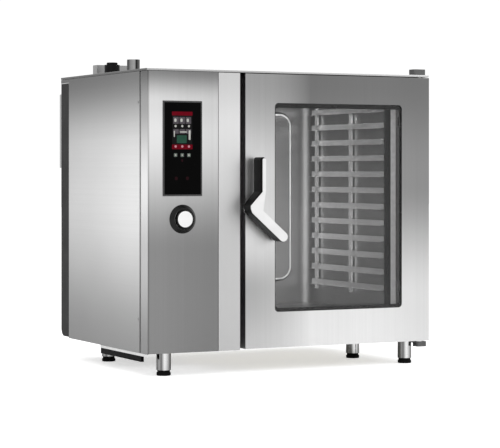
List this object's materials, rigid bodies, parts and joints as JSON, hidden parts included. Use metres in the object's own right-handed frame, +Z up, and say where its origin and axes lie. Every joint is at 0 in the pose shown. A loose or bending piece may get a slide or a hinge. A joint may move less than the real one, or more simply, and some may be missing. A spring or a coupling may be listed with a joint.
{
  "type": "combi steamer oven",
  "caption": "Restaurant combi steamer oven with a glazed side-hinged door, bent lever handle, touch panel and knob, pan racks, fan, boiler and levelling feet.",
  "frame": {"origin": "on the floor, at the middle of the whole outline", "axes": "+Z up, +Y to the back of the oven, +X to the door's hinge side"},
  "size_m": [1.1832, 0.94, 1.153],
  "materials": {
    "frame_steel": "mill finish welded steel",
    "foot_steel": "polished stainless tube",
    "foot_pad": "black pad",
    "casing": "satin brushed stainless sheet",
    "trim_satin": "light satin stainless sheet",
    "post_black": "dark grey powder coat",
    "black_plastic": "black moulded plastic",
    "hinge_cast": "dark cast hinge block",
    "steel_bright": "turned stainless steel",
    "bezel": "dark grey frame",
    "touch_panel": "black glass",
    "circuit_board": "green board with parts",
    "dial_silver": "satin silver",
    "handle_silver": "light grey satin",
    "chamber_steel": "bright annealed stainless",
    "wool": "mineral wool",
    "silicone": "black silicone",
    "glass": "clear tempered glass",
    "motor_grey": "painted motor",
    "heater": "sheathed heater",
    "duct_steel": "stainless tube and tank",
    "brass": "brass body",
    "electrics": "light grey electrical parts on plate",
    "lamp": "lamp channel"
  },
  "bodies": {
    "cabinet": {"base_frame": "frame_steel", "foot_sleeves": "foot_steel", "foot_inserts": "foot_pad", "left_side_panel": "casing", "right_side_panel": "casing", "rear_corner_post": "post_black", "rear_panel": "casing", "rear_vent_cover": "trim_satin", "top_cover": "casing", "flue_box": "casing", "chimney_tube": "foot_steel", "relief_cap": "black_plastic", "flap_actuator": "motor_grey", "front_frame": "frame_steel", "hinge_brackets": "hinge_cast", "hinge_pins": "steel_bright", "latch_keepers": "black_plastic", "filter_rails": "casing", "panel_screws": "steel_bright", "control_fascia": "casing", "trim_strip": "trim_satin", "touch_bezel": "bezel", "touch_glass": "touch_panel", "control_board": "circuit_board", "encoder": "black_plastic", "knob_ring": "black_plastic", "cooking_chamber": "chamber_steel", "chamber_insulation": "wool", "door_gasket": "silicone", "fan_baffle": "chamber_steel", "fan_motor": "motor_grey", "heating_element": "heater", "rack_left": "chamber_steel", "rack_right": "chamber_steel", "rack_pins": "steel_bright", "drain_pipe": "duct_steel", "exhaust_duct": "duct_steel", "steam_boiler": "duct_steel", "steam_pipe": "duct_steel", "inlet_valves": "brass", "electrics_plate": "electrics", "cooling_fan_housing": "black_plastic"},
    "door": {"door_skin": "casing", "door_inner_frame": "chamber_steel", "outer_glass": "glass", "inner_glass": "glass", "inner_glass_hinges": "steel_bright", "door_lamp": "lamp", "latch_case": "motor_grey", "handle_base": "steel_bright", "hinge_bushes": "steel_bright"},
    "handle": {"handle_grip": "black_plastic", "handle_cover": "handle_silver", "latch_shaft": "steel_bright"},
    "knob_spindle": {"knob_spindle": "steel_bright"},
    "knob_dial": {"knob_dial": "dial_silver"},
    "fan_wheel": {"fan_wheel": "chamber_steel"},
    "cooling_fan_wheel": {"cooling_fan_wheel": "black_plastic"},
    "vent_flap": {"vent_flap": "steel_bright"},
    "air_filter": {"air_filter": "black_plastic"}
  },
  "joints": [
    {"name": "door_hinge", "type": "hinge", "parent": "cabinet", "child": "door", "pos_m": [0.562, -0.367, 0.6], "axis": [0, 0, 1], "range_deg": [0, 130]},
    {"name": "handle_turn", "type": "hinge", "parent": "door", "child": "handle", "pos_m": [-0.188, -0.395, 0.603], "axis": [0, 1, 0], "range_deg": [-60, 60]},
    {"name": "knob_press", "type": "slide", "parent": "cabinet", "child": "knob_spindle", "axis": [0, 1, 0], "range_m": [0, 0.0012]},
    {"name": "knob_turn", "type": "hinge", "parent": "knob_spindle", "child": "knob_dial", "pos_m": [-0.452, -0.41, 0.565], "axis": [0, 1, 0], "continuous": true},
    {"name": "fan_spin", "type": "hinge", "parent": "cabinet", "child": "fan_wheel", "pos_m": [-0.19, 0.035, 0.6], "axis": [1, 0, 0], "continuous": true},
    {"name": "cooling_fan_spin", "type": "hinge", "parent": "cabinet", "child": "cooling_fan_wheel", "pos_m": [-0.4, -0.065, 0.135], "axis": [0, 0, 1], "continuous": true},
    {"name": "vent_flap_turn", "type": "hinge", "parent": "cabinet", "child": "vent_flap", "pos_m": [-0.5, -0.064, 1.07], "axis": [1, 0, 0], "range_deg": [0, 90]},
    {"name": "filter_slide", "type": "slide", "parent": "cabinet", "child": "air_filter", "axis": [-1, 0, 0], "range_m": [0, 0.3]}
  ]
}
